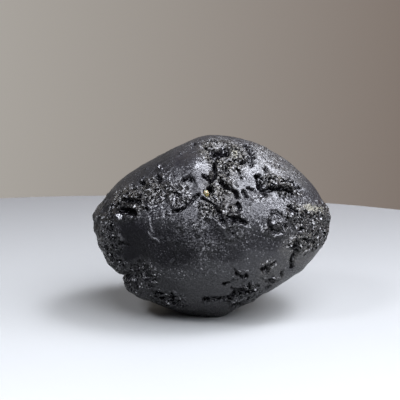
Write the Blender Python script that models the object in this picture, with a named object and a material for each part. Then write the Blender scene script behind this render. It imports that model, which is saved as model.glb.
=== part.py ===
"""A tektite: one lump of black natural glass, pitted and grooved, with a grain of sand lodged in a pit.

The scene is in metres. The stone's own sizes are in millimetres, and MM turns them into metres. +X is
the stone's long way, -Y is its front, and it rests on a worn flat at z = 0. Every point of its surface is
a direction from its heart and a radius. The radius comes from four meridians, and the front's pits,
slots, grooves and swellings are then drawn on it, in millimetres, as they look from VIEW_DISTANCE away.
The other sides carry seeded bubble pits of the same sizes.
"""

import math
from typing import NamedTuple

import bmesh
import bpy
import numpy as np

MM = 0.001

# Driving dimensions, in millimetres and degrees.
HEART_HEIGHT = 16.2  # the heart is this far over the flat that the stone rests on
LATITUDES = (-90, -60, -35, -15, 0, 15, 35, 60, 90)
RIGHT_RADII = (18.0, 15.0, 16.6, 19.6, 21.3, 20.5, 18.4, 17.2, 16.5)
LEFT_RADII = (18.0, 18.1, 19.5, 20.4, 21.3, 19.9, 17.4, 15.6, 16.5)
FRONT_RADII = (18.0, 16.9, 16.7, 17.4, 17.8, 17.6, 16.7, 16.1, 16.5)
BACK_RADII = (18.0, 16.4, 16.5, 17.3, 17.9, 17.3, 16.3, 15.9, 16.5)
TURN_SHARE = 0.55  # of a quarter turn, over which one side's meridian gives way to the opposite one's
SWELL_CELL = 9.0
FRONT_SWELL, FAR_SWELL = 0.35, 0.9  # height of the random swells on the front and on the other sides
BUBBLE_CELLS = (6.5, 3.4)  # spacing of the seeded bubble pits on the hidden sides
BUBBLE_DEPTH = 0.32  # of a bubble's radius

# The front drawing: x to the right and z up from the heart, square to the line of sight.
VIEW_DISTANCE = 176.0
VIEW_TILT = 11.5
DRAWING_WOBBLE = 0.2
DRAWING_EDGE = (0.05, 0.3)  # how squarely a place faces the viewer where the drawing fades in

SPHERE_CUTS = 7
STONE_TRIANGLES = 9300

GRAIN_SPOT = (-1.1, 5.8)
GRAIN_RADII = (0.46, 0.40, 0.62)
GRAIN_LIFT = 1.15  # the grain's middle over the floor of its pit
GRAIN_CUTS = 3

STONE_COLOUR = (0.012, 0.012, 0.014, 1.0)
STONE_ROUGHNESS = 0.38
GRAIN_COLOUR = (0.68, 0.52, 0.22, 1.0)
GRAIN_ROUGHNESS = 0.3


class Mark(NamedTuple):
    """One hollow or swelling of the front drawing, along a route of hand-set points."""

    name: str
    route: tuple
    reach: float  # half its width
    lift: float  # its height, or its depth as a negative value


SOFT_MARKS = (
    Mark("bright rib", ((-1.6, 13.4), (-2.0, 10.2), (-2.1, 7.4), (-1.8, 5.0)), 1.9, 0.7),
    Mark("mid brow", ((-7.0, 0.6), (-4.5, 1.2), (-2.0, 0.4)), 2.6, 0.6),
    Mark("right shelf", ((7.0, 4.2), (10.0, 4.0), (13.2, 4.0)), 3.4, 0.5),
    Mark("heel", ((-14.6, -11.4), (-12.5, -12.6)), 2.8, 0.7),
    Mark("crater floor", ((11.9, 0.1), (12.1, 0.1)), 1.3, 0.5),
    Mark("left dish", ((-15.6, -1.6), (-15.4, -4.5), (-14.4, -6.6)), 4.2, -1.3),
    Mark("flank dent", ((-9.6, 11.3), (-8.6, 11.4)), 1.8, -0.6),
    Mark("mid hollow", ((-8.8, -5.2), (-6.0, -7.2)), 4.0, -0.5),
)

HOLLOWS = (
    Mark("crown hole", ((1.2, 13.2), (2.5, 13.5)), 0.95, -1.9),
    Mark("crown nick", ((-1.7, 13.8), (-0.4, 13.8)), 0.5, -0.8),
    Mark("crown pit", ((0.2, 12.2), (0.8, 12.6)), 0.6, -0.8),
    Mark("rim slot", ((6.2, 14.6), (7.1, 13.9), (7.9, 13.0)), 0.5, -0.8),
    Mark("brow slot", ((5.8, 11.9), (6.8, 12.1), (7.8, 11.5)), 0.45, -0.7),
    Mark("rib gully", ((0.4, 11.3), (0.5, 10.2), (0.6, 9.2), (0.1, 8.4), (-0.5, 7.6)), 0.7, -1.4),
    Mark("rib notch", ((-1.9, 8.8), (-0.9, 8.6), (-0.2, 8.2)), 0.5, -0.7),
    Mark("slanting gully", ((1.7, 8.4), (2.6, 7.4), (3.8, 7.0), (4.7, 6.2), (5.1, 5.3)), 0.95, -1.3),
    Mark("grain pit", ((-1.15, 5.7), (-1.05, 5.9)), 1.5, -1.6),
    Mark("shelf pit", ((4.9, 10.7), (5.7, 10.1)), 0.55, -0.8),
    Mark("comma pit", ((6.1, 6.5), (6.6, 6.1), (6.7, 5.4)), 0.5, -0.9),
    Mark("shelf slot", ((7.0, 7.1), (7.9, 6.8), (8.8, 6.5)), 0.45, -0.8),
    Mark("long slot", ((8.9, 9.6), (9.1, 8.6), (9.4, 7.5), (9.7, 6.4), (10.3, 5.6)), 0.7, -1.7),
    Mark("long slot hook", ((9.0, 9.7), (9.8, 9.4), (10.3, 8.6)), 0.5, -0.9),
    Mark("shelf hole", ((10.5, 10.9), (10.7, 10.3)), 0.5, -1.0),
    Mark("furrow", ((10.2, 6.5), (11.5, 6.7), (13.3, 6.5), (14.4, 6.1), (15.3, 5.3)), 0.75, -1.1),
    Mark("upper furrow", ((13.6, 8.2), (14.6, 8.1), (15.6, 7.6), (16.8, 6.6)), 0.6, -0.8),
    Mark("eye pit", ((4.9, 3.6), (5.0, 2.6)), 0.65, -1.3),
    Mark("eye gully", ((3.0, 1.2), (4.1, 0.8), (5.0, 0.4), (6.0, 0.1)), 0.65, -1.0),
    Mark("mid gully", ((0.6, 3.1), (1.4, 1.8), (2.0, 0.4)), 0.6, -0.8),
    Mark("brow gully", ((-7.2, 2.6), (-6.0, 2.6), (-5.2, 3.2), (-4.4, 4.1)), 0.6, -0.9),
    Mark("temple pit", ((14.4, 3.3), (14.5, 2.4)), 0.7, -0.8),
    Mark("cheek slot", ((16.0, -4.1), (15.7, -5.4), (15.1, -6.8), (14.4, -8.3)), 0.65, -1.4),
    Mark("jaw hole", ((9.7, -8.5), (10.1, -8.3)), 0.85, -1.5),
    Mark("jaw slot", ((10.2, -10.5), (11.1, -10.1)), 0.5, -0.9),
    Mark("chin pits", ((4.5, -9.0), (5.4, -9.8), (6.4, -9.7)), 0.5, -0.8),
    Mark("chin slot", ((2.3, -11.3), (3.2, -10.8), (4.0, -10.5)), 0.5, -0.7),
    Mark("chin gully", ((-1.5, -14.3), (1.0, -14.2), (3.2, -13.5), (4.6, -12.4), (6.0, -12.2)), 0.6, -1.2),
    Mark("left hole", ((-17.4, 2.4), (-16.0, 2.3), (-14.4, 2.1)), 0.9, -1.5),
    Mark("left furrow", ((-16.0, 3.9), (-14.5, 3.9), (-13.3, 3.6)), 0.6, -0.8),
    Mark("left pit", ((-13.3, 7.3), (-12.7, 7.5)), 0.6, -0.8),
    Mark("flank pit", ((-10.0, 8.4), (-9.4, 8.0)), 0.6, -0.9),
    Mark("heel nick", ((-17.4, -10.0), (-15.6, -9.6)), 0.7, -0.7),
)

CRATER = Mark("ring crater", ((11.9, 0.1),), 1.75, -0.9)
CRATER_WALL = 0.6  # half the width of the ring's trough
HOLLOW_STEEPNESS = 1.25  # 1 makes a hollow's wall run to its middle, and more leaves it a flat floor


def smooth_step(values):
    """0 below 0, 1 above 1, and a smooth rise between them."""
    t = np.clip(values, 0.0, 1.0)
    return t * t * (3.0 - 2.0 * t)


def smooth_curve(where, knots, heights):
    """The cubic through (knots, heights) whose slope at each knot is that of its two neighbours."""
    knots = np.asarray(knots, float)
    heights = np.asarray(heights, float)
    slopes = np.gradient(heights, knots)
    slopes[[0, -1]] = 0.0
    left = np.clip(np.searchsorted(knots, where, side="right") - 1, 0, len(knots) - 2)
    span = knots[left + 1] - knots[left]
    t = (where - knots[left]) / span
    start = (1 + 2 * t) * (1 - t) ** 2 * heights[left] + t * (1 - t) ** 2 * span * slopes[left]
    end = t * t * (3 - 2 * t) * heights[left + 1] - t * t * (1 - t) * span * slopes[left + 1]
    return start + end


def lattice_random(cells, seed, count):
    """count numbers from 0 to 1 for each whole-number cell, always the same for the same seed."""
    mixed = (cells * (73856093, 19349663, 83492791)).sum(axis=-1) + seed * 6971
    mixed = (mixed ^ (mixed >> 13)) & 0x7FFFFFFF
    drawn = []
    for turn in range(count):
        mixed = (mixed * 1103515245 + 12345 + turn) & 0x7FFFFFFF
        drawn.append(((mixed >> 8) & 0xFFFF) / 0xFFFF)
    return np.stack(drawn, axis=-1)


def soft_noise(points, cell, seed):
    """Smooth random heights from -1 to 1 that change over a distance of one cell."""
    scaled = points / cell
    base = np.floor(scaled).astype(np.int64)
    blend = smooth_step(scaled - base)
    total = np.zeros(len(points))
    for corner in np.ndindex(2, 2, 2):
        weight = np.prod(np.where(corner, blend, 1.0 - blend), axis=1)
        total += weight * lattice_random(base + corner, seed, 1)[:, 0]
    return 2.0 * total - 1.0


def bubble_pits(points, cell, seed):
    """How deep each point lies in bubbles of random sizes, one for each cube of side cell."""
    base = np.floor(points / cell).astype(np.int64)
    deepest = np.zeros(len(points))
    for step in np.ndindex(3, 3, 3):
        cube = base + step - 1
        drawn = lattice_random(cube, seed, 4)
        centre = (cube + drawn[:, :3]) * cell
        radius = cell * (0.12 + 0.36 * drawn[:, 3] ** 2)
        nearness = 1.0 - np.linalg.norm(points - centre, axis=1) / radius
        deepest = np.maximum(deepest, radius * smooth_step(HOLLOW_STEEPNESS * nearness))
    return deepest


def base_radii(directions):
    """The radius of the plain form along each direction, from the four meridians."""
    latitude = np.degrees(np.arcsin(np.clip(directions[:, 2], -1.0, 1.0)))
    bearing = np.arctan2(directions[:, 1], directions[:, 0])
    across, along = np.cos(bearing), np.sin(bearing)
    rightness = smooth_step(0.5 + 0.5 * across / TURN_SHARE)
    backness = smooth_step(0.5 + 0.5 * along / TURN_SHARE)
    right, left, front, back = (
        smooth_curve(latitude, LATITUDES, radii)
        for radii in (RIGHT_RADII, LEFT_RADII, FRONT_RADII, BACK_RADII)
    )
    sideways = left + rightness * (right - left)
    lengthways = front + backness * (back - front)
    return 1.0 / np.hypot(across / sideways, along / lengthways)


def drawing_places(points):
    """Where points (from the heart) fall on the front drawing, and how squarely each faces the viewer."""
    tilt = math.radians(VIEW_TILT)
    forward = np.array((0.0, math.cos(tilt), -math.sin(tilt)))
    upward = np.array((0.0, math.sin(tilt), math.cos(tilt)))
    scale = VIEW_DISTANCE / (VIEW_DISTANCE + points @ forward)
    places = np.stack((points[:, 0] * scale, (points @ upward) * scale), axis=1)
    facing = -(points @ forward) / np.linalg.norm(points, axis=1)
    return places, smooth_step((facing - DRAWING_EDGE[0]) / (DRAWING_EDGE[1] - DRAWING_EDGE[0]))


def route_distance(places, route):
    """The distance from each place to the nearest point of a route."""
    route = np.asarray(route, float)
    nearest = np.full(len(places), np.inf)
    for start, end in zip(route[:-1], route[1:]):
        run = end - start
        share = np.clip((places - start) @ run / (run @ run), 0.0, 1.0)
        nearest = np.minimum(nearest, np.linalg.norm(places - start - share[:, None] * run, axis=1))
    return nearest


def front_relief(places):
    """The height of the front's swellings less the depth of its dishes and hollows."""
    raised = np.zeros(len(places))
    for mark in SOFT_MARKS:
        raised += mark.lift * smooth_step(1.0 - route_distance(places, mark.route) / mark.reach)
    sunk = np.zeros(len(places))
    for mark in HOLLOWS:
        nearness = 1.0 - route_distance(places, mark.route) / mark.reach
        sunk = np.minimum(sunk, mark.lift * smooth_step(HOLLOW_STEEPNESS * nearness))
    from_ring = np.abs(np.linalg.norm(places - CRATER.route[0], axis=1) - CRATER.reach)
    ring = CRATER.lift * smooth_step(HOLLOW_STEEPNESS * (1.0 - from_ring / CRATER_WALL))
    return raised + np.minimum(sunk, ring)


def stone_points(directions):
    """The stone's surface along each direction, in millimetres from the heart."""
    plain = directions * base_radii(directions)[:, None]
    places, front = drawing_places(plain)
    wobble = np.stack((soft_noise(plain, 1.6, 11), soft_noise(plain, 1.6, 12)), axis=1)
    relief = (FAR_SWELL + front * (FRONT_SWELL - FAR_SWELL)) * soft_noise(plain, SWELL_CELL, 3)
    relief += front * front_relief(places + DRAWING_WOBBLE * wobble)
    patches = smooth_step(1.5 + 2.0 * soft_noise(plain, 11.0, 5))
    for order, cell in enumerate(BUBBLE_CELLS):
        relief -= (1.0 - front) * patches * BUBBLE_DEPTH * bubble_pits(plain, cell, 21 + order)
    return plain + directions * relief[:, None]


def clear_scene():
    """Takes every object out of the scene."""
    for thing in list(bpy.data.objects):
        bpy.data.objects.remove(thing, do_unlink=True)


def principled(name, colour, roughness):
    """A material with one Principled BSDF."""
    material = bpy.data.materials.new(name)
    material.use_nodes = True
    shader = material.node_tree.nodes["Principled BSDF"]
    shader.inputs["Base Color"].default_value = colour
    shader.inputs["Roughness"].default_value = roughness
    shader.inputs["Metallic"].default_value = 0.0
    return material


def unit_sphere(name, cuts):
    """A mesh object: a ball of radius 1 with even triangles."""
    ball = bmesh.new()
    bmesh.ops.create_icosphere(ball, subdivisions=cuts, radius=1.0)
    mesh = bpy.data.meshes.new(name)
    ball.to_mesh(mesh)
    ball.free()
    thing = bpy.data.objects.new(name, mesh)
    bpy.context.scene.collection.objects.link(thing)
    return thing


def directions_of(thing):
    """The directions of a unit sphere's vertices."""
    flat = np.empty(len(thing.data.vertices) * 3)
    thing.data.vertices.foreach_get("co", flat)
    directions = flat.reshape(-1, 3)
    return directions / np.linalg.norm(directions, axis=1, keepdims=True)


def place_vertices(thing, points):
    """Moves a mesh's vertices to points given in millimetres, and shades it smooth."""
    thing.data.vertices.foreach_set("co", (points * MM).ravel())
    thing.data.update()
    thing.data.shade_smooth()


def resting_cutter():
    """A block whose top is the surface that the stone rests on."""
    bpy.ops.mesh.primitive_cube_add(size=1.0, location=(0.0, 0.0, -10 * MM))
    cutter = bpy.context.active_object
    cutter.name = "resting_cutter"
    cutter.scale = (60 * MM, 60 * MM, 20 * MM)
    cutter.hide_render = True
    cutter.display_type = "WIRE"
    return cutter


def make_stone():
    """The tektite itself, thinned to facets and cut flat where it rests. Returns its surface too."""
    stone = unit_sphere("tektite", SPHERE_CUTS)
    points = stone_points(directions_of(stone))
    place_vertices(stone, points + (0.0, 0.0, HEART_HEIGHT))
    facets = stone.modifiers.new("facets", "DECIMATE")
    facets.ratio = STONE_TRIANGLES / len(stone.data.polygons)
    flat = stone.modifiers.new("resting_flat", "BOOLEAN")
    flat.operation = "DIFFERENCE"
    flat.object = resting_cutter()
    stone.data.materials.append(principled("black_tektite_glass", STONE_COLOUR, STONE_ROUGHNESS))
    return points


def make_grain(stone):
    """The sand grain, standing in its pit just clear of the glass."""
    places, front = drawing_places(stone)
    away = np.where(front > 0.5, np.linalg.norm(places - GRAIN_SPOT, axis=1), np.inf)
    floor = stone[np.argmin(away)]
    outward = floor / np.linalg.norm(floor)
    grain = unit_sphere("lodged_sand_grain", GRAIN_CUTS)
    directions = directions_of(grain)
    lumps = 1.0 + 0.12 * soft_noise(directions + 4.0, 0.7, 31)
    middle = floor + GRAIN_LIFT * outward + (0.0, 0.0, HEART_HEIGHT)
    place_vertices(grain, middle + directions * GRAIN_RADII * lumps[:, None])
    grain.data.materials.append(principled("yellow_quartz_sand", GRAIN_COLOUR, GRAIN_ROUGHNESS))


def main():
    clear_scene()
    stone = make_stone()
    make_grain(stone)


if __name__ == "__main__":
    main()
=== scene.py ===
"""The tektite's looks: black glass, satin on its shelves and pitted in its gullies, and one sand grain.

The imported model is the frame. The glass is modelled again here, finer, as a radius for each direction from
its heart: four meridians give the plain form, and pits, slots, gullies and swells are laid on it in
millimetres.
"""

from __future__ import annotations

import logging
import math
from dataclasses import dataclass
from enum import Enum, IntEnum
from typing import Any

import bpy
import numpy as np
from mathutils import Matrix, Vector


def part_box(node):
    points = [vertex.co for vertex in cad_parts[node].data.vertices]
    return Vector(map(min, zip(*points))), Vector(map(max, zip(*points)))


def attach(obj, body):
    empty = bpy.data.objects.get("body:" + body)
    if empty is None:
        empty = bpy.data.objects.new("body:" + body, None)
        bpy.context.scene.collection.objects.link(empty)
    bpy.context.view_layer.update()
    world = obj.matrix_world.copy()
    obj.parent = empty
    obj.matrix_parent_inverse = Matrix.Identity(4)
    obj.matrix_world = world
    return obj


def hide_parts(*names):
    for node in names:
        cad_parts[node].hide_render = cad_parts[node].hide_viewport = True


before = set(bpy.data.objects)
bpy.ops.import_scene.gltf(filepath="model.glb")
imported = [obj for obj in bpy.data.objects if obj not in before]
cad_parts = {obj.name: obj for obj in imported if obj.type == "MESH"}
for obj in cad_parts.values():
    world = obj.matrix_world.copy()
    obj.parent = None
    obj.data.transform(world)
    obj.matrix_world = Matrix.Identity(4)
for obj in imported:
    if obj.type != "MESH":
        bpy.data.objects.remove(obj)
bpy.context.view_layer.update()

Array = np.ndarray
Tree = bpy.types.NodeTree
Pair = tuple[float, float]
Row = tuple[float, ...]
Route = tuple[Pair, ...]
MM = 0.001
VIEW_DISTANCE_MM = 176.0
VIEW_TILT = 11.5  # degrees over the level
log = logging.getLogger("tektite")


# ---------------------------------------------------------------------------------------------------------
# Curves, noise and grids

# What the hash of a lattice cell multiplies, adds and keeps.
CELL_FACTORS = (73856093, 19349663, 83492791)
SEED_FACTOR = 6971
NEXT_FACTOR = 1103515245
NEXT_STEP = 12345
FOLD_BITS = 13
SPARE_BITS = 8
KEPT_BITS = 0x7FFFFFFF
FRACTION_BITS = 0xFFFF

# The smallest bubble's radius and how much larger the largest is, as shares of a lattice cube's side.
BUBBLE_LEAST = 0.12
BUBBLE_GROWTH = 0.36

WELD_DECIMALS = 6


class Seed(IntEnum):
    """Which random numbers a pattern draws. A pattern of several noises takes the next numbers too."""

    SWELL = 3
    DIMPLED = 5
    FAR_ETCHED = 6
    WORMED = 8
    HOLED = 9
    WOBBLE = 11
    FAR_GRIT = 12
    RAGGED = 13
    FROSTED = 14
    EDGE = 15
    FINE_EDGE = 16
    UNEVEN = 17
    WORMS = 19
    DIMPLES = 21
    HOLES = 27
    BUBBLES = 31
    FAR_BENDS = 41
    BENDS = 61
    CRUMBS = 71
    GRAIN = 76


def smooth_step(values: Array) -> Array:
    """0 below 0, 1 above 1, and between them t*t*(3 - 2t)."""
    t = np.clip(values, 0.0, 1.0)
    return t * t * (3.0 - 2.0 * t)


def less(values: Array, loss: float, share: Array) -> Array:
    """Each value without a part of itself: value * (1 - loss * share)."""
    return values * (1.0 - loss * share)


def smooth_curve(where: Array, knots: Row, heights: Row) -> Array:
    """The piecewise cubic through (knots, heights), whose slope at a knot is that of its two neighbours.

    Args:
        where: the places to read the curve at.
        knots: rising places of the curve's points.
        heights: the curve's value at each knot.

    Returns:
        The curve's value at each place.
    """
    at, values = np.asarray(knots, float), np.asarray(heights, float)
    slopes = np.gradient(values, at)
    slopes[[0, -1]] = 0.0
    left = np.clip(np.searchsorted(at, where, side="right") - 1, 0, len(at) - 2)
    span = at[left + 1] - at[left]
    t = (where - at[left]) / span
    start = (1 + 2 * t) * (1 - t) ** 2 * values[left] + t * (1 - t) ** 2 * span * slopes[left]
    end = t * t * (3 - 2 * t) * values[left + 1] - t * t * (1 - t) * span * slopes[left + 1]
    return start + end


def lattice_random(cells: Array, seed: int, count: int) -> Array:
    """Numbers from 0 to 1 for whole-number cells: each cell's three numbers are hashed with the seed.

    Args:
        cells: whole numbers, three in each row.
        seed: which set of random numbers to draw.
        count: how many numbers each cell gets.

    Returns:
        An array with count numbers in each row.
    """
    mixed = (cells * CELL_FACTORS).sum(axis=-1) + seed * SEED_FACTOR
    mixed = (mixed ^ (mixed >> FOLD_BITS)) & KEPT_BITS
    drawn = []
    for turn in range(count):
        mixed = (mixed * NEXT_FACTOR + NEXT_STEP + turn) & KEPT_BITS
        drawn.append(((mixed >> SPARE_BITS) & FRACTION_BITS) / FRACTION_BITS)
    return np.stack(drawn, axis=-1)


def soft_noise(points: Array, cell: float, seed: int) -> Array:
    """Smooth random heights from -1 to 1: each lattice corner's random value, blended over one cell.

    Args:
        points: the places to read the noise at.
        cell: the side of a lattice cube, in the places' own unit.
        seed: which set of random numbers.

    Returns:
        The height at each place.
    """
    scaled = points / cell
    base = np.floor(scaled).astype(np.int64)
    blend = smooth_step(scaled - base)
    total = np.zeros(len(points))
    for corner in np.ndindex(2, 2, 2):
        weight = np.prod(np.where(corner, blend, 1.0 - blend), axis=1)
        total += weight * lattice_random(base + corner, seed, 1)[:, 0]
    return 2.0 * total - 1.0


def shake(points: Array, cell: float, seed: int, count: int) -> Array:
    """Soft noises side by side, which bend a pattern when they are added to the places it is read at."""
    return np.stack([soft_noise(points, cell, seed + turn) for turn in range(count)], axis=1)


def bubble_pits(points: Array, cell: float, seed: int, sharpness: float) -> Array:
    """How deep each point lies in burst bubbles, one of a random size for each cube of the lattice.

    A bubble's profile is (1 - (distance / radius) ** 2) raised to the sharpness: a half is a round bowl with
    a crisp lip, and 2 is a soft dimple.

    Args:
        points: places in millimetres.
        cell: the side of a lattice cube, in millimetres.
        seed: which set of bubbles.
        sharpness: the power of the profile.

    Returns:
        The depth at each point, in millimetres, up to the bubble's own radius.
    """
    base = np.floor(points / cell).astype(np.int64)
    deepest = np.zeros(len(points))
    for step in np.ndindex(3, 3, 3):
        cube = base + step - 1
        drawn = lattice_random(cube, seed, 4)
        centre = (cube + drawn[:, :3]) * cell
        radius = cell * (BUBBLE_LEAST + BUBBLE_GROWTH * drawn[:, 3] ** 2)
        nearness = np.maximum(0.0, 1.0 - ((points - centre) ** 2).sum(axis=1) / radius**2)
        deepest = np.maximum(deepest, radius * nearness**sharpness)
    return deepest


def route_distance(places: Array, route: Route) -> Array:
    """The distance from each place to the nearest point of a route of straight stretches.

    Args:
        places: places on the front drawing.
        route: the ends of the stretches.

    Returns:
        The distance of each place.
    """
    points = np.asarray(route, float)
    nearest = np.full(len(places), np.inf)
    for start, end in zip(points[:-1], points[1:]):
        run = end - start
        share = np.clip((places - start) @ run / (run @ run), 0.0, 1.0)
        nearest = np.minimum(nearest, np.linalg.norm(places - start - share[:, None] * run, axis=1))
    return nearest


def looking(bearing: float, height: float) -> Array:
    """The unit vector at a bearing from +X and a height over the level, both in degrees."""
    turn, rise = math.radians(bearing), math.radians(height)
    return np.array((math.cos(turn) * math.cos(rise), math.sin(turn) * math.cos(rise), math.sin(rise)))


def cube_sphere(cuts: int) -> tuple[Array, Array]:
    """A ball of six square grids, each direction axis + tan(a)*across + tan(b)*up, made unit long.

    Args:
        cuts: how many squares each grid has along a side.

    Returns:
        The directions, each once, and the faces as rows of four indices that turn outwards.
    """
    steps = np.tan(np.linspace(-math.pi / 4, math.pi / 4, cuts + 1))
    a, b = np.meshgrid(steps, steps, indexing="ij")
    sides, squares = [], []
    corner = np.arange(cuts * (cuts + 1)).reshape(cuts, cuts + 1)[:, :-1].ravel()
    square = np.stack((corner, corner + cuts + 1, corner + cuts + 2, corner + 1), axis=1)
    for axis in range(3):
        for sign in (1.0, -1.0):
            grid = np.empty((cuts + 1, cuts + 1, 3))
            grid[..., axis] = sign
            grid[..., (axis + 1) % 3] = a * sign
            grid[..., (axis + 2) % 3] = b
            squares.append(square + len(sides) * (cuts + 1) ** 2)
            sides.append(grid.reshape(-1, 3))
    points = np.concatenate(sides)
    points /= np.linalg.norm(points, axis=1, keepdims=True)
    rounded = np.round(points, WELD_DECIMALS)
    _, first, index = np.unique(rounded, axis=0, return_index=True, return_inverse=True)
    return points[first], index.reshape(-1)[np.concatenate(squares)]


def into_scene(name: str, data: Any) -> bpy.types.Object:
    """A new object with this data, linked into the scene."""
    thing = bpy.data.objects.new(name, data)
    bpy.context.scene.collection.objects.link(thing)
    return thing


def mesh_object(name: str, points: Array, faces: Array, attributes: dict[str, Array]) -> bpy.types.Object:
    """Puts a closed surface into the scene as one smooth-shaded object at the origin.

    Args:
        name: the object's name.
        points: its vertices in metres.
        faces: rows of vertex indices that turn outwards.
        attributes: a number for each vertex under each attribute's name.

    Returns:
        The new object.
    """
    mesh = bpy.data.meshes.new(name)
    mesh.from_pydata(points, [], faces)
    for label, values in attributes.items():
        layer = mesh.attributes.new(label, "FLOAT", "POINT")
        layer.data.foreach_set("value", np.ascontiguousarray(values, np.float32))
    mesh.update()
    mesh.shade_smooth()
    return into_scene(name, mesh)


# ---------------------------------------------------------------------------------------------------------
# Finishes

# A Mix node has sockets for numbers, vectors and colours under the same names: these are its colour ones.
MIX_A, MIX_B, MIX_COLOUR = 6, 7, 2


def linear(colour: str) -> tuple[float, float, float, float]:
    """An sRGB hex colour such as #1a1b1e as linear red, green and blue, with alpha 1."""
    shares = [int(colour[i : i + 2], 16) / 255 for i in (1, 3, 5)]
    red, green, blue = (s / 12.92 if s <= 0.04045 else ((s + 0.055) / 1.055) ** 2.4 for s in shares)
    return red, green, blue, 1.0


def per_metre(size_mm: float) -> float:
    """The scale that makes a pattern's features size_mm wide on Object coordinates, which are metres."""
    return 1.0 / (size_mm * MM)


def feed(tree: Tree, node: bpy.types.Node, values: dict[Any, Any], links: dict[Any, Any]) -> None:
    """Sets a node's inputs, by name or number, to plain values and to other nodes' outputs."""
    for label, value in values.items():
        node.inputs[label].default_value = value
    for label, source in links.items():
        tree.links.new(source, node.inputs[label])


def add_node(
    tree: Tree,
    kind: str,
    values: dict[Any, Any] | None = None,
    links: dict[Any, Any] | None = None,
    **settings: Any,
) -> bpy.types.Node:
    """Adds a shader node with its settings and links.

    Args:
        tree: the material's node tree.
        kind: the node's Blender type, without the leading ShaderNode.
        values: a value for each input, by name or number.
        links: the output that feeds each input, by name or number.
        **settings: the node's own attributes.

    Returns:
        The new node.
    """
    node = tree.nodes.new("ShaderNode" + kind)
    for label, setting in settings.items():
        setattr(node, label, setting)
    feed(tree, node, values or {}, links or {})
    return node


def maths(tree: Tree, operation: str, first: Any, second: Any, kind: str = "Math") -> Any:
    """The output of a Math or VectorMath node that two others feed."""
    return add_node(tree, kind, links={0: first, 1: second}, operation=operation).outputs[0]


def ramp(tree: Tree, value: Any, ends: Pair = (0.0, 1.0), low: Any = 0.0, high: float = 1.0) -> Any:
    """The output of a Map Range node: low + (high - low) * the share of the way between the ends.

    Args:
        tree: the material's node tree.
        value: the output that is read.
        ends: the values at which the ramp starts and ends.
        low: what it gives at its start, a number or another output.
        high: what it gives at its end.

    Returns:
        The ramp's output.
    """
    values = {"From Min": ends[0], "From Max": ends[1], "To Max": high}
    links = {"Value": value}
    lows = links if isinstance(low, bpy.types.NodeSocket) else values
    lows["To Min"] = low
    return add_node(tree, "MapRange", values, links).outputs[0]


def blend(tree: Tree, share: Any, first: str, second: Any) -> Any:
    """The colour of a Mix node, which goes from one colour to another.

    Args:
        tree: the material's node tree.
        share: the output that says how much of the second colour there is.
        first: the first colour, in hex.
        second: the second colour, in hex or as another output.

    Returns:
        The colour's output.
    """
    values, links = {MIX_A: linear(first)}, {"Factor": share}
    if isinstance(second, str):
        values[MIX_B] = linear(second)
    else:
        links[MIX_B] = second
    return add_node(tree, "Mix", values, links, data_type="RGBA").outputs[MIX_COLOUR]


def new_material(name: str) -> tuple[bpy.types.Material, Tree, bpy.types.Node]:
    """A material with one Principled BSDF: the material, its tree and the shader."""
    material = bpy.data.materials.new(name)
    material.use_nodes = True
    return material, material.node_tree, material.node_tree.nodes["Principled BSDF"]


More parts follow.
